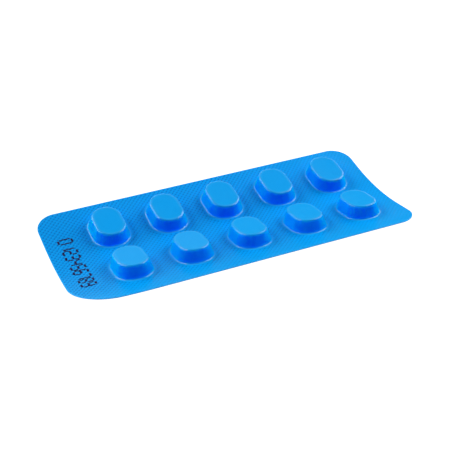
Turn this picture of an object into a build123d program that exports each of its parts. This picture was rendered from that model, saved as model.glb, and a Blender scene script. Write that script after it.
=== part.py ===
from build123d import *
import math
import os

# A sealed blister pack: one card of formed blue film closed by a lidding foil, with two rows of
# oblong pockets. Millimetres, X along the card, Y from the near row to the far row, Z up.

# The card as it was punched, before it curled
sheet_thickness = 0.3
left_margin = 19.4  # left end of the card to the middle of the first column
right_margin = 12.8  # right end of the card to the middle of the last column
near_margin = 14.2  # near edge to the middle of the near row, along the sheet
far_margin = 12.3  # far edge to the middle of the far row, along the sheet
corner_radius = 6.2
lifted_corner_radius = 12.0  # of the near left corner

# The grid of pockets
columns = 5
rows = 2
column_pitch = 18.0
row_pitch = 20.0  # along the sheet

# One pocket, with its length across the card
pocket_height = 4.1
foot_length = 14.3  # where the walls meet the sheet
foot_width = 11.1
end_flat = 0.9  # straight part of each rounded end
wall_draft = 18.2  # lean of the walls in degrees
rim_radius = 0.5  # round edge of the flat top
foot_bevel = 0.3  # slope where a wall runs out into the sheet

# The curl that the card has taken: a shallow trough along X with straight flanks
trough_radius = 67.0  # of the upper face
trough_width = 24.0  # curved part, along the sheet
roll_radius = 60.0  # of the upper face at the near left corner, which has lifted
roll_along_edge = 21.8  # length of near edge that lifts with that corner

grid_length = (columns - 1) * column_pitch
grid_width = (rows - 1) * row_pitch
card_length = left_margin + grid_length + right_margin
left_end = -grid_length / 2 - left_margin
near_edge = -grid_width / 2 - near_margin
near_flank = near_margin + (grid_width - trough_width) / 2
far_flank = far_margin + (grid_width - trough_width) / 2
trough_half_angle = math.degrees(trough_width / 2 / trough_radius)


def seat(x, across):
    """Place on the upper face, given by x and the distance from the trough along the sheet."""
    inside = max(-trough_width / 2, min(across, trough_width / 2))
    slope = inside / trough_radius
    beyond = across - inside
    y = trough_radius * math.sin(slope) + beyond * math.cos(slope)
    z = trough_radius * (1 - math.cos(slope)) + beyond * math.sin(slope)
    return Pos(x, y, z) * Rot(X=math.degrees(slope))


def sheet_line(depth):
    """The curled section from the near edge to the far edge, at a depth below the upper face."""
    arc = CenterArc((0, trough_radius), trough_radius + depth, 270 - trough_half_angle, 2 * trough_half_angle)
    near = Line(arc @ 0 - near_flank * (arc % 0), arc @ 0)
    far = Line(arc @ 1, arc @ 1 + far_flank * (arc % 1))
    return Wire([near, arc, far])


def face_between(lower, upper):
    """Flat face between two open lines, closed by a straight line at each end."""
    return make_face([lower, upper, Line(lower @ 0, upper @ 0), Line(lower @ 1, upper @ 1)])


def run_along_card(section):
    """Solid of a section, as long as the card."""
    return Pos(X=left_end) * extrude(Plane.YZ * section, card_length)


def make_sheet():
    """The curled card with its punched round corners, flat as yet at the lifted one."""
    sheet = run_along_card(face_between(sheet_line(sheet_thickness), sheet_line(0)))
    corners = sheet.edges().filter_by(lambda edge: math.isclose(edge.length, sheet_thickness, rel_tol=0.01))
    return fillet(corners, corner_radius)


def roll_corner(sheet):
    """Bend the near left corner up about a line from the end of its flank to the near edge."""
    corner = seat(left_end, near_edge)
    turn = math.degrees(math.atan2(roll_along_edge, near_flank))
    reach = near_flank * roll_along_edge / math.hypot(near_flank, roll_along_edge)
    bend = corner * Rot(Z=turn) * Pos(X=reach)
    quarter = (270, -90)  # from the bend line outwards and up
    upper = CenterArc((0, roll_radius), roll_radius, *quarter)
    lower = CenterArc((0, roll_radius), roll_radius + sheet_thickness, *quarter)
    strip = extrude(Plane.XZ * face_between(lower, upper), card_length, both=True)
    outline = RectangleRounded(card_length, card_length, lifted_corner_radius, align=Align.MIN)
    outline_column = extrude(outline, roll_radius, both=True)
    outwards = (Align.MAX, Align.CENTER, Align.CENTER)
    flat_corner = Box(card_length, 2 * card_length, roll_radius, align=outwards)
    return sheet - bend * flat_corner + (bend * strip & corner * outline_column)


def make_pocket():
    """One pocket with leaning walls and a round rim, carried down through the sheet."""
    outline = RectangleRounded(foot_width, foot_length, (foot_width - end_flat) / 2)
    blank = Pos(Z=-sheet_thickness) * extrude(outline, sheet_thickness + pocket_height)
    walls = blank.faces() - blank.faces().filter_by(Axis.Z)
    body = draft(walls, Plane.XY, wall_draft)
    top = body.faces().sort_by(Axis.Z)[-1]
    return fillet(top.edges(), rim_radius)


def make_pockets():
    """Every pocket, square to the sheet under it and trimmed at the middle of the sheet."""
    middle = sheet_line(sheet_thickness / 2)
    room = run_along_card(face_between(middle, Pos(Y=2 * pocket_height) * middle))
    pocket = make_pocket()
    pockets = []
    for row in range(rows):
        across = row * row_pitch - grid_width / 2
        for column in range(columns):
            place = seat(column * column_pitch - grid_length / 2, across)
            pockets.append(place * pocket & room)
    return pockets


sheet = roll_corner(make_sheet())
pockets = make_pockets()
pack = sheet + pockets
feet = new_edges(sheet, *pockets, combined=pack)
pack = chamfer(feet, foot_bevel)

# The origin is under the middle of the pack, on the surface it lies on
box = pack.bounding_box()
pack = Pos(-box.center().X, -box.center().Y, -box.min.Z) * pack

os.makedirs("parts", exist_ok=True)
export_step(pack, "parts/blister_pack.step")
print(f"blister pack {box.size.X:.1f} x {box.size.Y:.1f} x {box.size.Z:.1f} mm, {pack.volume:.0f} mm3")
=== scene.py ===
# %% [markdown]
# # A pill blister pack
#
# The object is one sealed card: a sheet of blue film with ten pockets pressed up out of it, closed
# underneath by aluminium foil that is welded on all over. The CAD model already has the size, the
# curl and the pockets. This lesson builds the skin that is looked at: the same card with its soft
# bends, the diamond pattern of the sealing plate, the foil, and a row of printed digits.
#
# The CAD model is loaded first and stays as it is. Everything made here is in metres, in its frame.

# %% Load the frame
import math

import bmesh
import bpy
from mathutils import Matrix, Vector


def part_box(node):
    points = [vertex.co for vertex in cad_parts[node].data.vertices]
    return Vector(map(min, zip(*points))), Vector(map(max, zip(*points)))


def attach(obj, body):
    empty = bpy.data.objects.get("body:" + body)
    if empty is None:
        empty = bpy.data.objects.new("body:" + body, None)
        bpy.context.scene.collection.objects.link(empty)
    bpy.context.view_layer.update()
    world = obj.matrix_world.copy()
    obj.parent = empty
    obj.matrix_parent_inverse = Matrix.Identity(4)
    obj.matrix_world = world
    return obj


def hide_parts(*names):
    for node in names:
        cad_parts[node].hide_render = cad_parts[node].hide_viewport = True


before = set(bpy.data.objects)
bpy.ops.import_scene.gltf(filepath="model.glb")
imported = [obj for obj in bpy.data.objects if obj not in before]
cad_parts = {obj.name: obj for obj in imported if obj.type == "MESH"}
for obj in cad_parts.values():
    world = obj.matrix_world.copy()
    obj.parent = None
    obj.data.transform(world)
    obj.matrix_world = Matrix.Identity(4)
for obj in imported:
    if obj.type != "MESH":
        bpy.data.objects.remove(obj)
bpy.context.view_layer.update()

pack_low, pack_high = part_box("blister_pack")
print("CAD box from", tuple(pack_low), "to", tuple(pack_high))

# %% [markdown]
# ## The sizes of the card
#
# A blister card is punched out flat and curls afterwards, so its sizes are easiest to give on the
# flat card: u runs along it, v across it, both measured from the middle of the grid of pockets, and
# h stands up from the upper face. The card's sizes are those of the CAD model, in millimetres. Some
# mesh operators have fixed tolerances that are too coarse for a thin sheet given in metres, so the
# card is modelled in millimetres and scaled when it is curled.

# %% Sizes on the flat card
sheet_thickness = 0.3
left_margin = 19.4
right_margin = 12.8
near_margin = 14.2
far_margin = 12.3
corner_radius = 6.2
lifted_corner_radius = 12.0

columns = 5
rows = 2
column_pitch = 18.0
row_pitch = 20.0

left_end = -(columns - 1) / 2 * column_pitch - left_margin
right_end = (columns - 1) / 2 * column_pitch + right_margin
near_edge = -(rows - 1) / 2 * row_pitch - near_margin
far_edge = (rows - 1) / 2 * row_pitch + far_margin
card_length = right_end - left_end
card_width = far_edge - near_edge

pocket_centres = []
for row in range(rows):
    for column in range(columns):
        centre_u = (column - (columns - 1) / 2) * column_pitch
        centre_v = (row - (rows - 1) / 2) * row_pitch
        pocket_centres.append(Vector((centre_u, centre_v)))
print(f"flat card {card_length:.1f} x {card_width:.1f} mm, {len(pocket_centres)} pockets")

# %% [markdown]
# ## The curl
#
# Film and foil shrink by different amounts as they cool, so a real card lies as a shallow trough,
# and here one corner has rolled up as well. A Simple Deform modifier could bend the card, but it
# knows one bend only and would bend the stiff pockets too. A small function that says where a place
# on the flat card ends up does all of it, and the printed digits can use it later to lie on the
# same curve.

# %% Where a place on the flat card ends up
trough_radius = 67.0
trough_half_width = 12.0
roll_radius = 60.0
roll_along_edge = 21.8

near_flank = -near_edge - trough_half_width
roll_inward = Vector((near_flank, roll_along_edge)).normalized()
roll_reach = near_flank * roll_inward.y
edge_slope = trough_half_width / trough_radius
curved_plan = (trough_radius + sheet_thickness) * math.sin(edge_slope)
near_plan = curved_plan + near_flank * math.cos(edge_slope)
mm = 0.001
grid_middle = pack_low + Vector((-left_end, near_plan, sheet_thickness)) * mm


def roll_lift(u, v, h):
    """Height over the flank of a place at height h, raised where the corner has rolled up."""
    run = roll_reach - roll_inward.dot(Vector((u - left_end, v - near_edge)))
    if run <= 0:
        return h
    return roll_radius - math.sqrt((roll_radius - h) ** 2 - run ** 2)


def on_card(u, v, h):
    """The point of the curled card, in metres, for a place on the flat card."""
    inside = max(-trough_half_width, min(v, trough_half_width))
    slope = inside / trough_radius
    beyond = v - inside
    reach = trough_radius - roll_lift(u, v, h)
    y = reach * math.sin(slope) + beyond * math.cos(slope)
    z = trough_radius - reach * math.cos(slope) + beyond * math.sin(slope)
    return grid_middle + Vector((u, y, z)) * mm


print(f"trough at y = {grid_middle.y / mm:.3f} mm, the corner rolls over {roll_reach:.2f} mm")

# %% [markdown]
# ## The flat sheet
#
# The sealing plate leaves diamonds about a millimetre apart, at 45 degrees to the card. A grid whose
# step is half the way from a peak to the next pit has a vertex on every peak, pit and saddle of that
# pattern, so a plain grid is enough to carry it. Its corners are cut round with a fan of planes, and
# then it is extruded once to the sheet's thickness.

# %% Make the sheet and round its corners
steps_along = 286
steps_across = 128
corner_cuts = 14

bm = bmesh.new()
bmesh.ops.create_grid(bm, x_segments=steps_along, y_segments=steps_across, size=0.5)
bmesh.ops.scale(bm, vec=(card_length, card_width, 1), verts=bm.verts)
middle = Vector(((left_end + right_end) / 2, (near_edge + far_edge) / 2, 0))
bmesh.ops.translate(bm, vec=middle, verts=bm.verts)


def corner_at(side_u, side_v):
    """Radius of a corner and the middle of its round. The lifted one has the widest round."""
    radius = lifted_corner_radius if side_u < 0 and side_v < 0 else corner_radius
    end = right_end if side_u > 0 else left_end
    edge = far_edge if side_v > 0 else near_edge
    return radius, Vector((end - side_u * radius, edge - side_v * radius, 0))


def round_corner(side_u, side_v):
    """Cut one corner of the flat sheet along tangents of its round outline."""
    radius, centre = corner_at(side_u, side_v)
    for cut in range(corner_cuts):
        turn = math.radians(90) * (cut + 0.5) / corner_cuts
        outward = Vector((side_u * math.cos(turn), side_v * math.sin(turn), 0))
        near_by = []
        for face in bm.faces:
            away = face.calc_center_median() - centre
            if away.x * side_u > 0 and away.y * side_v > 0:
                near_by.append(face)
        touched = set(near_by)
        for face in near_by:
            touched.update(face.edges)
            touched.update(face.verts)
        bmesh.ops.bisect_plane(
            bm,
            geom=list(touched),
            plane_co=centre + outward * radius,
            plane_no=outward,
            clear_outer=True,
        )


for side_u in (-1, 1):
    for side_v in (-1, 1):
        round_corner(side_u, side_v)

upper_faces = list(bm.faces)
lower = bmesh.ops.extrude_face_region(bm, geom=upper_faces, use_keep_orig=True)["geom"]
lower_verts = [item for item in lower if isinstance(item, bmesh.types.BMVert)]
bmesh.ops.translate(bm, vec=(0, 0, -sheet_thickness), verts=lower_verts)
bmesh.ops.recalc_face_normals(bm, faces=bm.faces)
print("sheet", len(bm.faces), "faces, open edges", sum(edge.is_boundary for edge in bm.edges))

# %% [markdown]
# ## The mouths of the pockets
#
# Each pocket starts as a mouth in the upper face: a rectangle with its corners rounded almost to
# half circles. Cutting that outline into a grid with a boolean leaves slivers. It is cleaner to
# delete the grid's faces under it, lay in one face with bevelled corners, and fill the ring between
# the two. Length, width and draft are those of the CAD model. The rim is a little rounder and the
# height a little less, which leaves room in the CAD box for the tops to get longer later.

# %% Cut the pocket mouths into the upper face
pocket_height = 4.012
foot_length = 14.3
foot_width = 11.1
end_flat = 0.9
wall_draft = math.radians(18.2)
foot_radius = 0.45
rim_radius = 0.6

wall_turn = math.radians(90) - wall_draft
foot_run = foot_radius * math.tan(wall_turn / 2)
mouth_half = Vector((foot_width / 2 + foot_run, foot_length / 2 + foot_run))
mouth_corner = (foot_width - end_flat) / 2 + foot_run
round_cuts = 16
side_cuts = 8
level_normal = 0.5  # a face whose normal rises more than this counts as level


def outside_mouth(u, v):
    """How far a place on the flat card is outside the nearest pocket mouth (negative inside)."""
    nearest = card_length
    for centre in pocket_centres:
        over_u = abs(u - centre.x) - mouth_half.x + mouth_corner
        over_v = abs(v - centre.y) - mouth_half.y + mouth_corner
        corner_gap = math.hypot(max(over_u, 0), max(over_v, 0))
        nearest = min(nearest, corner_gap + min(max(over_u, over_v), 0) - mouth_corner)
    return nearest


grid_gap = 0.2
under_mouths = []
for face in bm.faces:
    if face.normal.z > level_normal:
        if min(outside_mouth(vert.co.x, vert.co.y) for vert in face.verts) < grid_gap:
            under_mouths.append(face)
bmesh.ops.delete(bm, geom=under_mouths, context="FACES")


def lay_in_mouth(centre):
    """One face with round ends on the upper face, joined to the grid by a ring of triangles."""
    hole = []
    for edge in bm.edges:
        middle = (edge.verts[0].co + edge.verts[1].co) / 2
        if edge.is_boundary and (middle.xy - centre).length < column_pitch / 2 + grid_gap:
            hole.append(edge)
    quad = bmesh.ops.create_grid(bm, x_segments=1, y_segments=1, size=1)["verts"]
    bmesh.ops.scale(bm, vec=(mouth_half.x, mouth_half.y, 1), verts=quad)
    bmesh.ops.translate(bm, vec=(centre.x, centre.y, 0), verts=quad)
    rounded = bmesh.ops.bevel(
        bm,
        geom=quad,
        affect="VERTICES",
        offset=mouth_corner,
        segments=round_cuts,
        profile=0.5,
        material=-1,
    )
    mouth = rounded["verts"][0].link_faces[0]
    long_sides = [edge for edge in mouth.edges if edge.calc_length() > 2 * end_flat]
    bmesh.ops.bisect_edges(bm, edges=long_sides, cuts=side_cuts)
    ring = hole + list(mouth.edges)
    bmesh.ops.triangle_fill(bm, edges=ring, normal=(0, 0, 1), use_beauty=True)
    return mouth


mouths = [lay_in_mouth(centre) for centre in pocket_centres]
print("laid in", len(mouths), "mouths, open edges", sum(edge.is_boundary for edge in bm.edges))

# %% [markdown]
# ## The pockets
#
# The forming die draws the warm film up into pockets with leaning walls. The foot runs out into the
# sheet in a hollow bend, the rim is a round edge, and the flat top sinks a little as it cools.
# Insetting the mouth face again and again, each time a step inwards and a step up, follows that
# section round the whole outline and keeps every band of faces even, which one extrude with a bevel
# would not do.

# %% Draw the pockets up
foot_steps = 5
wall_steps = 7
rim_steps = 6
top_steps = [(0.5, -0.010), (0.8, -0.020), (1.1, -0.015)]


def pocket_section():
    """Steps inwards and upwards along the section of a pocket, from the sheet to the flat top."""
    section = []
    for step in range(foot_steps):
        start, end = wall_turn * step / foot_steps, wall_turn * (step + 1) / foot_steps
        inward = foot_radius * (math.sin(end) - math.sin(start))
        section.append((inward, foot_radius * (math.cos(start) - math.cos(end))))
    wall_height = pocket_height - (foot_radius + rim_radius) * (1 - math.cos(wall_turn))
    for step in range(wall_steps):
        section.append((wall_height * math.tan(wall_draft) / wall_steps, wall_height / wall_steps))
    for step in range(rim_steps, 0, -1):
        start, end = wall_turn * step / rim_steps, wall_turn * (step - 1) / rim_steps
        inward = rim_radius * (math.sin(start) - math.sin(end))
        section.append((inward, rim_radius * (math.cos(end) - math.cos(start))))
    return section + top_steps


for mouth in mouths:
    for inward, upward in pocket_section():
        bmesh.ops.inset_individual(
            bm, faces=[mouth], thickness=inward, depth=upward, use_even_offset=True
        )
highest = max(vert.co.z for vert in bm.verts)
print("pockets stand", round(highest, 3), "mm high,", len(bm.faces), "faces in all")

# %% [markdown]
# ## How strong the seal pattern is
#
# Film and foil are welded between a heated plate and a roll, and the plate's diamonds stay in both.
# The plate hasn't marked this card evenly: the diamonds are deepest at the wide end, and faint at
# the other end and along the near edge. They fade out beside a pocket's foot, where the plate is cut
# away, and at the punched edge. One function of the place says all of that, so that the pattern
# itself can stay a plain formula.

# %% The strength of the pattern at a place
strong_share = 0.85
strong_start, strong_full = 16.0, 11.0  # from the left end
plain_share = 0.7
weak_share = 0.28
faint_share = 0.5
faint_start, faint_full = 8.0, 1.0  # from the near edge
land_start, land_end = 0.15, 0.7  # from a pocket's mouth
trim_start, trim_end = 0.15, 0.6  # from the punched edge


def smooth_step(start, end, value):
    """0 before start, 1 after end, and an even bend between them."""
    share = max(0, min((value - start) / (end - start), 1))
    return share * share * (3 - 2 * share)


def inside_outline(u, v):
    """How far a place on the flat card is inside the punched outline."""
    side_u = 1 if u > (left_end + right_end) / 2 else -1
    side_v = 1 if v > (near_edge + far_edge) / 2 else -1
    radius, centre = corner_at(side_u, side_v)
    over_u, over_v = side_u * (u - centre.x), side_v * (v - centre.y)
    return radius - math.hypot(max(over_u, 0), max(over_v, 0)) - min(max(over_u, over_v), 0)


def seal_share(u, v):
    """How fully the plate has marked a place: most at the wide end, least at the other one, less
    along the near edge, and not at all beside a pocket or at the punched edge."""
    faint = smooth_step(faint_start, faint_full, v - near_edge)
    strong = smooth_step(strong_start, strong_full, u - left_end)
    weak = smooth_step(0, right_end, u)
    beside_pocket = smooth_step(land_start, land_end, outside_mouth(u, v))
    at_edge = smooth_step(trim_start, trim_end, inside_outline(u, v))
    plate = plain_share + (strong_share - plain_share) * strong - (plain_share - weak_share) * weak
    return plate * beside_pocket * at_edge * (1 - (1 - faint_share) * faint)


print("pattern in the middle of the card", round(seal_share(0, 0), 3), "of its full strength")

# %% [markdown]
# ## Where the film whitens, and the painted highlight on its bends
#
# Rigid film turns slightly white where it is bent sharply, at the foot of a pocket and at its rim.
# The white laid on here is partly that and partly a painted highlight, the glint of those bends.
# A node that looks for sharp edges would find the punched outline too. The distance inwards from the
# mouth tells just where the two bends are, all round each pocket.

# %% The bends of a pocket
# White laid on the bends: partly the film turning white, partly a painted highlight for their glints
whitening_and_highlight = 0.045
foot_bend = (-0.15, 0.1, 0.2, 0.45)  # start, full, fading and end, inwards from the mouth
rim_bend = (-0.3, -0.05, 0.1, 0.35)  # the same, inwards from the rim
rim_from_mouth = sum(inward for inward, upward in pocket_section()[:-len(top_steps)])


def band(limits, value):
    """1 between the two inner limits, and 0 outside the two outer ones."""
    start, full, fading, end = limits
    return smooth_step(start, full, value) * smooth_step(end, fading, value)


def whitened_and_highlight_share(u, v):
    """White at a pocket's bends, evenly all round: partly the film turning white, partly painted
    highlight.
    """
    inwards = -outside_mouth(u, v)
    return whitening_and_highlight * (band(foot_bend, inwards) + band(rim_bend, inwards - rim_from_mouth))


print("the rim starts", round(rim_from_mouth, 2), "mm inside the mouth")

# %% [markdown]
# ## Pressing the pattern in
#
# A bump map would give the diamonds' shading, but not their shape. Here each vertex of the sheet is
# moved by a product of two cosines, which is that lattice, and the foil is stretched smooth under
# each pocket. The same pass stores four marks at the vertices, because the materials need them
# later and they are easy to tell while the card is flat: how far the film was pressed in, drawn up
# into a wall, left resting on a tablet as a top, or turned white at a bend, where the white also
# carries a painted highlight.

# %% Press the pattern in and store the marks
seal_depth = 0.25
pit_power = 2.8
half_wave_u = 2 * card_length / steps_along
half_wave_v = 2 * card_width / steps_across
foil_dish = 0.06
dish_slope = 1.2
above_sheet = 0.001
drawn_start, drawn_full = 0.1, 0.7  # up from the sheet
resting_start, resting_full = 1.0, 0.1  # down from the top

drawn = bm.verts.layers.float.new("drawn")
resting = bm.verts.layers.float.new("resting")
pressed = bm.verts.layers.float.new("pressed")
whitened_and_highlight = bm.verts.layers.float.new("whitened_and_highlight")
for vert in bm.verts:
    u, v, h = vert.co
    if h > -sheet_thickness / 2:
        # white at the bends, which is partly a painted highlight
        vert[whitened_and_highlight] = whitened_and_highlight_share(u, v)
    if h > above_sheet:
        vert[resting] = smooth_step(resting_start, resting_full, pocket_height - h)
        vert[drawn] = smooth_step(drawn_start, drawn_full, h) * (1 - vert[resting])
        continue
    wave_u = math.cos(math.pi * (u - left_end) / half_wave_u)
    wave_v = math.cos(math.pi * (v - near_edge) / half_wave_v)
    lattice = wave_u * wave_v
    vert[pressed] = seal_share(u, v) * ((1 - lattice) / 2) ** pit_power
    if h > -sheet_thickness / 2:
        vert.co.z = h - seal_depth * vert[pressed]
    else:
        raised = seal_depth * seal_share(u, v) * (1 + lattice) / 2
        vert.co.z = h + raised + foil_dish * smooth_step(0, dish_slope, -outside_mouth(u, v))
print("diamonds", round(half_wave_u * math.sqrt(2), 2), "mm apart, pressed", seal_depth, "mm deep")

# %% [markdown]
# ## Which film a face is
#
# A formed card has four finishes: the flat sheet, the foil under it, the thin dull walls of the
# pockets, and the glossier bends and tops. On the flat card a face's normal and height tell them
# apart, so each face gets the number of its material before the card is curled.

# %% Number the faces by material
film_index = 0
foil_index = 1
wall_index = 2
formed_index = 3

bm.normal_update()
for face in bm.faces:
    face.smooth = True
    height = face.calc_center_median().z
    if face.normal.z < -level_normal:
        face.material_index = foil_index
    elif face.normal.z < level_normal and height > foot_radius / 2:
        face.material_index = wall_index
    elif height > above_sheet:
        face.material_index = formed_index
    else:
        face.material_index = film_index
walls = sum(face.material_index == wall_index for face in bm.faces)
print("pocket walls have", walls, "faces")

# %% [markdown]
# ## Curling the card
#
# Now every vertex goes from the flat card to the curled one. The sheet follows the curl exactly. A
# drawn pocket is far stiffer than the sheet round it, so it stays straight and only its foot follows
# the curl, with a smooth change from one to the other up the wall. Towards the top a pocket also
# gets a trace wider, longer at its far end and rounder at both ends, as the photograph shows it.

# %% Curl the card
stiff_from = 1.6
wider_top = 0.015
longer_near_end = 0.01
longer_far_end = 0.10
rounder_ends = 0.12


def on_pocket(centre, u, v, h):
    """The point of a stiff pocket that stands square on the curled card."""
    rise = h / pocket_height
    off_axis = (u - centre.x) / (foot_width / 2)
    longer = longer_far_end if v > centre.y else longer_near_end
    along = (u - centre.x) * (1 + wider_top * rise)
    across = (v - centre.y) * (1 + (longer - rounder_ends * off_axis ** 2) * rise)
    seat = on_card(centre.x, centre.y, 0)
    turn = Matrix.Rotation(centre.y / trough_radius, 3, "X")
    return seat + turn @ Vector((along, across, h)) * mm


for vert in bm.verts:
    u, v, h = vert.co
    point = on_card(u, v, h)
    if h > 0:
        centre = min(pocket_centres, key=lambda place: (place - vert.co.xy).length)
        point = point.lerp(on_pocket(centre, u, v, h), smooth_step(0, stiff_from, h))
    vert.co = point
print("card stands", round(max(vert.co.z for vert in bm.verts) / mm, 3), "mm high")

# %% [markdown]
# ## The card as a piece
#
# A punched edge is sharp, while film and foil are smooth. Smooth shading over the whole card would
# blur that edge, so an edge is marked sharp where its two faces meet at more than a set angle. Faces
# with many corners are cut into triangles, because they would be cut differently by each program.

# %% Make the piece
fold_angle = math.radians(40)
bm.normal_update()
for edge in bm.edges:
    edge.smooth = edge.calc_face_angle(0) < fold_angle
bmesh.ops.triangulate(bm, faces=[face for face in bm.faces if len(face.verts) > 4])

card_mesh = bpy.data.meshes.new("blister_card")
bm.to_mesh(card_mesh)
open_edges = sum(edge.is_boundary for edge in bm.edges)
print("card", len(card_mesh.polygons), "faces, open edges", open_edges)
bm.free()
card = bpy.data.objects.new("blister_card", card_mesh)
bpy.context.scene.collection.objects.link(card)
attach(card, "root")
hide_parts("blister_pack")

# %% [markdown]
# ## The printed digits
#
# A row of ink dots at the wide end is what a coder leaves on such a card. Here it is a plain run of
# the ten digits. A text object with a font would give solid strokes, so each digit is set from dots
# along the seven strokes of a counter digit: five dots wide and seven high. Each dot is a short
# cylinder of ink, drawn out a little along the card's travel and laid on the curled card with the
# same function as the film.

# %% Print the digits
digit_tops_u = -47.25
digit_first_v = 10.9
digit_pitch = 2.52
dot_pitch_u = 0.66
dot_pitch_v = 0.46
dot_radius = 0.25
dot_stretch = 1.43
dot_sides = 10
ink_height = 0.012
strokes = {
    "top": [(1, 0), (2, 0), (3, 0)],
    "upper left": [(0, 1), (0, 2)],
    "upper right": [(4, 1), (4, 2)],
    "middle": [(1, 3), (2, 3), (3, 3)],
    "left joint": [(0, 3)],
    "right joint": [(4, 3)],
    "lower left": [(0, 4), (0, 5)],
    "lower right": [(4, 4), (4, 5)],
    "bottom": [(1, 6), (2, 6), (3, 6)],
}
left_out = {
    0: ["middle"],
    1: ["top", "upper left", "middle", "left joint", "lower left", "bottom"],
    2: ["upper left", "left joint", "right joint", "lower right"],
    3: ["upper left", "left joint", "right joint", "lower left"],
    4: ["top", "left joint", "lower left", "bottom"],
    5: ["upper right", "left joint", "right joint", "lower left"],
    6: ["upper right", "right joint"],
    7: ["upper left", "middle", "left joint", "lower left", "bottom"],
    8: ["left joint", "right joint"],
    9: ["left joint", "lower left"],
}


def digit_dots(digit):
    """Columns and rows of the dots of one digit, each of them once."""
    dots = set()
    for stroke, places in strokes.items():
        if stroke not in left_out[digit]:
            dots.update(places)
    return sorted(dots)


bm = bmesh.new()
for digit in left_out:
    for column, row in digit_dots(digit):
        u = digit_tops_u - row * dot_pitch_u
        v = digit_first_v - digit * digit_pitch - column * dot_pitch_v
        dot = bmesh.ops.create_cone(
            bm,
            cap_ends=True,
            segments=dot_sides,
            radius1=dot_radius,
            radius2=dot_radius,
            depth=ink_height,
        )["verts"]
        bmesh.ops.scale(bm, vec=(dot_stretch, 1, 1), verts=dot)
        bmesh.ops.translate(bm, vec=(u, v, ink_height / 2), verts=dot)
for vert in bm.verts:
    vert.co = on_card(*vert.co)

digits_mesh = bpy.data.meshes.new("code_digits")
bm.to_mesh(digits_mesh)
bm.free()
digits = bpy.data.objects.new("code_digits", digits_mesh)
bpy.context.scene.collection.objects.link(digits)
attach(digits, "root")
print("digits", len(digits_mesh.polygons), "faces")

# %% [markdown]
# ## A shared haze
#
# Rolled film and rolled foil both have a faint cloudiness and a fine tooth that a clean surface in
# the computer lacks. All these materials can use the same effect at their own strengths, so it is
# made once as a node group with named sockets.

# %% The haze group
noise_detail = {"Cloud": 3, "Grain": 1}
group_sockets = [
    ("Cloud Scale", "INPUT", "NodeSocketFloat"),
    ("Grain Scale", "INPUT", "NodeSocketFloat"),
    ("Stretch", "INPUT", "NodeSocketVector"),
    ("Cloud", "OUTPUT", "NodeSocketFloat"),
    ("Grain", "OUTPUT", "NodeSocketFloat"),
]

haze = bpy.data.node_groups.new("rolled_sheet_haze", "ShaderNodeTree")
for name, way, kind in group_sockets:
    haze.interface.new_socket(name=name, in_out=way, socket_type=kind)

inputs = haze.nodes.new("NodeGroupInput")
outputs = haze.nodes.new("NodeGroupOutput")
place = haze.nodes.new("ShaderNodeTexCoord")
stretch = haze.nodes.new("ShaderNodeVectorMath")
stretch.operation = "MULTIPLY"
haze.links.new(place.outputs["Object"], stretch.inputs[0])
haze.links.new(inputs.outputs["Stretch"], stretch.inputs[1])
for name, detail in noise_detail.items():
    noise = haze.nodes.new("ShaderNodeTexNoise")
    noise.inputs["Detail"].default_value = detail
    haze.links.new(stretch.outputs[0], noise.inputs["Vector"])
    haze.links.new(inputs.outputs[name + " Scale"], noise.inputs["Scale"])
    haze.links.new(noise.outputs["Fac"], outputs.inputs[name])
print("group", haze.name, "puts out", [socket.name for socket in outputs.inputs if socket.name])

# %% [markdown]
# ## Helpers for the materials
#
# Every material here mixes colours by a mark or a noise, stretches a noise over a range, or turns a
# height into a bump. Each of these is a node and a few links, so each is a small function. Blender's
# noise stays close to its middle value, and stretching that part of it makes it count.

# %% Nodes that the materials share
noise_low, noise_high = 0.3, 0.7


def new_material(name):
    """A material with its nodes, its links and its Principled shader."""
    material = bpy.data.materials.new(name)
    material.use_nodes = True
    tree = material.node_tree
    return material, tree.nodes, tree.links, tree.nodes["Principled BSDF"]


def add_haze(nodes, cloud_scale, grain_scale, stretch):
    """The shared haze with a material's own values."""
    node = nodes.new("ShaderNodeGroup")
    node.node_tree = haze
    node.inputs["Cloud Scale"].default_value = cloud_scale
    node.inputs["Grain Scale"].default_value = grain_scale
    node.inputs["Stretch"].default_value = stretch
    return node


def mix_colours(nodes, links, share, first, second):
    """A Mix node between two colours, each a fixed colour or a socket."""
    mix = nodes.new("ShaderNodeMix")
    mix.data_type = "RGBA"
    links.new(share, mix.inputs["Factor"])
    for name, colour in (("A", first), ("B", second)):
        socket = [item for item in mix.inputs if item.name == name and item.type == "RGBA"][0]
        if isinstance(colour, tuple):
            socket.default_value = colour
        else:
            links.new(colour, socket)
    return [item for item in mix.outputs if item.type == "RGBA"][0]


def map_range(nodes, links, value, start, end):
    """Stretch the part of a value where noise lies over a new range."""
    node = nodes.new("ShaderNodeMapRange")
    node.inputs["From Min"].default_value = noise_low
    node.inputs["From Max"].default_value = noise_high
    node.inputs["To Min"].default_value = start
    node.inputs["To Max"].default_value = end
    links.new(value, node.inputs["Value"])
    return node.outputs["Result"]


def add_bump(nodes, links, height, distance, shader):
    """A Bump node between a height and a shader's normal."""
    bump = nodes.new("ShaderNodeBump")
    bump.inputs["Strength"].default_value = 1
    bump.inputs["Distance"].default_value = distance
    links.new(height, bump.inputs["Height"])
    links.new(bump.outputs["Normal"], shader.inputs["Normal"])


print("noise counts from", noise_low, "to", noise_high)
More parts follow.
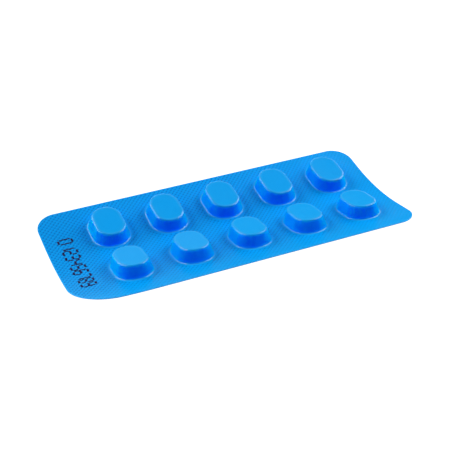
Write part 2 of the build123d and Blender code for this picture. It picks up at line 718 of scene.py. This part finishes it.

# %% [markdown]
# ## The blue film
#
# The film is an opaque bright blue with a satin face. The stored marks mix its blues: dark in the
# pits of the pattern, partly the pressed film's colour and partly painted shade; deeper where it
# was drawn thin into a wall, partly the film's colour and partly painted shade on the walls; and a
# touch of white along the bends, partly the film turning white and partly a painted highlight. The
# haze changes the colour and the gloss a little from place to place.
#
# How strongly a surface mirrors is a plain number on the shader, so one function makes three films:
# the sheet, the glossier bends and tops, and the walls. Drawing dulls the walls until they hardly
# mirror at all. They let some light in, and its blue part travels furthest before it comes out
# again, which is what Subsurface does. A tinted sheen lifts them where they are seen at a low angle.

# %% The films
sheet_blue = (0.002, 0.378, 0.98, 1)
# dark blue in the pits: partly the pressed film's deeper colour, partly painted shade
pit_blue_and_shade = (0.0, 0.0, 0.40, 1)
top_blue = (0.002, 0.382, 0.98, 1)
# deeper blue on the walls: partly the thin film over the hollow, partly painted shade
wall_blue_and_shade = (0.0, 0.24, 0.97, 1)
# white for the bends: partly the film turning white, partly a painted highlight
white_and_highlight_blue = (0.45, 0.80, 1.0, 1)
pale_blue = (0.02, 0.42, 0.95, 1)
mark_blues = {
    "pressed": pit_blue_and_shade,
    "resting": top_blue,
    "drawn": wall_blue_and_shade,
    "whitened_and_highlight": white_and_highlight_blue,
}
film_clouds = 90
film_grain = 2500
grain_height = 0.004 * mm
most_pale = 0.06
roughness_span = 0.06
sheen_roughness = 0.5
sheen_tint = (0, 0.8, 0.9, 1)
light_reach = (0.2, 0.6, 5.0)  # of red, green and blue inside the film, in millimetres


def make_film(name, mirror, dullest, sheen, glow):
    """The blue film with its mirror level, the roughness of its dullest places, its sheen, and how
    much of the light that it lets in comes out elsewhere."""
    film, nodes, links, shader = new_material(name)
    film_haze = add_haze(nodes, film_clouds, film_grain, (1, 1, 1))
    clouds = film_haze.outputs["Cloud"]
    blue = sheet_blue
    # the marks mix in painted shade in the pits and on the walls, and a painted highlight on the
    # bends
    for mark, colour in mark_blues.items():
        attribute = nodes.new("ShaderNodeAttribute")
        attribute.attribute_name = mark
        blue = mix_colours(nodes, links, attribute.outputs["Fac"], blue, colour)
    paleness = map_range(nodes, links, clouds, 0, most_pale)
    links.new(mix_colours(nodes, links, paleness, blue, pale_blue), shader.inputs["Base Color"])
    roughness = map_range(nodes, links, clouds, dullest - roughness_span, dullest)
    links.new(roughness, shader.inputs["Roughness"])
    add_bump(nodes, links, film_haze.outputs["Grain"], grain_height, shader)
    shader.inputs["Specular IOR Level"].default_value = mirror
    shader.inputs["Sheen Weight"].default_value = sheen
    shader.inputs["Sheen Roughness"].default_value = sheen_roughness
    shader.inputs["Sheen Tint"].default_value = sheen_tint
    shader.inputs["Subsurface Weight"].default_value = glow
    shader.inputs["Subsurface Radius"].default_value = light_reach
    shader.inputs["Subsurface Scale"].default_value = mm
    print("film", name, len(nodes), "nodes")
    return film


film = make_film("blue_forming_film", mirror=0.26, dullest=0.26, sheen=0.3, glow=0)
formed_film = make_film("formed_film", mirror=0.50, dullest=0.23, sheen=0.3, glow=0)
wall_film = make_film("drawn_film", mirror=0, dullest=0.40, sheen=1, glow=1)

# %% [markdown]
# ## The lidding foil
#
# The underside is hard aluminium foil. Rolling leaves fine streaks along the web. A noise stretched
# in one direction gives them: the haze's coordinates are squeezed along the card, so its clouds
# become streaks. The card then takes its four materials, in the order of their numbers.

# %% The foil's material
foil_dark = (0.62, 0.63, 0.65, 1)
foil_bright = (0.80, 0.81, 0.82, 1)
foil_streaks = 400
foil_grain = 2500
foil_squeeze = (0.06, 1, 1)
foil_smoothest, foil_roughest = 0.28, 0.42
streak_height = 0.01 * mm

foil, nodes, links, shader = new_material("lidding_foil")
streaks = add_haze(nodes, foil_streaks, foil_grain, foil_squeeze).outputs["Cloud"]
brightness = map_range(nodes, links, streaks, 0, 1)
foil_colour = mix_colours(nodes, links, brightness, foil_dark, foil_bright)
links.new(foil_colour, shader.inputs["Base Color"])
roughness = map_range(nodes, links, streaks, foil_smoothest, foil_roughest)
links.new(roughness, shader.inputs["Roughness"])
shader.inputs["Metallic"].default_value = 1
add_bump(nodes, links, streaks, streak_height, shader)
print("foil", len(nodes), "nodes")

for material in (film, foil, wall_film, formed_film):
    card_mesh.materials.append(material)

# %% [markdown]
# ## The ink
#
# The coder's ink is almost black with a purple cast, and a dot is thinner where it ran off a ridge
# of the pattern. Real holes in the ink would need far more faces, so a fine noise makes it paler and
# bluer there.

# %% The ink's material
thick_ink = (0.004, 0.001, 0.024, 1)
thin_ink = (0.018, 0.005, 0.10, 1)
ink_spots = 2200
ink_smoothest, ink_roughest = 0.45, 0.7
ink_mirror = 0.2

ink, nodes, links, shader = new_material("coder_ink")
spots = nodes.new("ShaderNodeTexNoise")
spots.inputs["Scale"].default_value = ink_spots
place = nodes.new("ShaderNodeTexCoord")
links.new(place.outputs["Object"], spots.inputs["Vector"])
thinness = map_range(nodes, links, spots.outputs["Fac"], 0, 1)
ink_colour = mix_colours(nodes, links, thinness, thick_ink, thin_ink)
links.new(ink_colour, shader.inputs["Base Color"])
roughness = map_range(nodes, links, spots.outputs["Fac"], ink_smoothest, ink_roughest)
links.new(roughness, shader.inputs["Roughness"])
shader.inputs["Specular IOR Level"].default_value = ink_mirror
digits_mesh.materials.append(ink)
print("ink", len(nodes), "nodes")

# %% [markdown]
# ## The floor
#
# The pack lies on a plain pale floor without an edge. A white floor under several lights would show
# a pool of light below each of them, so this one is a dull grey that gives off an even white light
# of its own. It lies a hair lower than the pack, so that the two don't share a plane.

# %% Lay the floor
floor_size = 4.0
floor_gap = 0.02 * mm
floor_grey = (0.22, 0.22, 0.22, 1)
floor_roughness = 0.9
floor_glow = 1.0

bm = bmesh.new()
bmesh.ops.create_grid(bm, x_segments=1, y_segments=1, size=floor_size / 2)
floor_mesh = bpy.data.meshes.new("floor")
bm.to_mesh(floor_mesh)
bm.free()
floor = bpy.data.objects.new("floor", floor_mesh)
floor.location.z = pack_low.z - floor_gap
bpy.context.scene.collection.objects.link(floor)
paper, nodes, links, shader = new_material("white_floor")
shader.inputs["Base Color"].default_value = floor_grey
shader.inputs["Roughness"].default_value = floor_roughness
shader.inputs["Emission Color"].default_value = (1, 1, 1, 1)
shader.inputs["Emission Strength"].default_value = floor_glow
floor_mesh.materials.append(paper)
print("floor", floor_size, "m wide")

# %% [markdown]
# ## The lights
#
# The light is soft: a ring of panels at the left, at the right and behind, and a faint grey all
# round. None stands on the near side, so the near walls of the pockets stay deep blue and the bends
# catch narrow glints from the sides. One large dome of light would be simpler, but film under a dome
# looks flat. Each panel is an area light that looks at the pack, placed by two angles.

# %% Place the lights
panel_distance = 0.6
room_grey = (0.07, 0.07, 0.07, 1)


def direction(azimuth, elevation):
    """Unit vector towards a place given in degrees: azimuth 0 is in front, 90 to the right."""
    turn, rise = math.radians(azimuth), math.radians(elevation)
    level = math.cos(rise)
    return Vector((math.sin(turn) * level, -math.cos(turn) * level, math.sin(rise)))


def add_panel(name, azimuth, elevation, width, height, watts):
    """A soft light panel that looks at the pack."""
    light = bpy.data.lights.new(name, "AREA")
    light.shape = "RECTANGLE"
    light.size = width
    light.size_y = height
    light.energy = watts
    panel = bpy.data.objects.new(name, light)
    towards = direction(azimuth, elevation)
    panel.location = towards * panel_distance
    panel.rotation_euler = towards.to_track_quat("Z", "Y").to_euler()
    bpy.context.scene.collection.objects.link(panel)


add_panel("left_back", -150, 35, 0.26, 0.26, 0.95)
add_panel("left_side", -115, 32, 0.26, 0.26, 0.65)
add_panel("left_high", -105, 48, 0.13, 0.13, 0.60)
add_panel("left_low", -98, 8, 0.30, 0.12, 0.55)
add_panel("left_low_back", -135, 8, 0.30, 0.12, 0.40)
add_panel("right_high", 98, 46, 0.42, 0.42, 1.80)
add_panel("right_key", 74, 46, 0.13, 0.13, 0.26)
add_panel("right_low", 74, 10, 0.30, 0.12, 0.38)
add_panel("right_back", 103, 31, 0.34, 0.34, 0.70)
add_panel("right_low_back", 115, 8, 0.30, 0.12, 0.20)
add_panel("back", 177, 17, 0.34, 0.20, 0.037)
add_panel("back_low", 160, 4, 0.50, 0.08, 0.06)
print("lights", len(bpy.data.lights))

world = bpy.data.worlds.new("studio")
world.use_nodes = True
world.node_tree.nodes["Background"].inputs["Color"].default_value = room_grey
bpy.context.scene.world = world
bpy.context.scene.view_settings.view_transform = "Standard"

# %% [markdown]
# ## The camera
#
# The camera stands at the photograph's viewing angle: over the near edge, a little to the left, with
# a long lens. A Track To constraint could aim it, but an aim worked out once is easier to follow, and
# the same function as for the lights gives the direction.

# %% Set up the camera
camera_azimuth = -24.095
camera_elevation = 34.0
camera_distance = 287.77 * mm
camera_target = Vector((-0.064, 0.982, 0.300)) * mm
sensor_width = 36
focal_length = 77.79
nearest_seen = 0.01

back = direction(camera_azimuth, camera_elevation)
lens = bpy.data.cameras.new("camera")
lens.sensor_width = sensor_width
lens.lens = focal_length
lens.clip_start = nearest_seen
camera = bpy.data.objects.new("camera", lens)
camera.location = camera_target + back * camera_distance
camera.rotation_euler = back.to_track_quat("Z", "Y").to_euler()
bpy.context.scene.collection.objects.link(camera)
bpy.context.scene.camera = camera
print("camera at", [round(value, 4) for value in camera.location], "m")
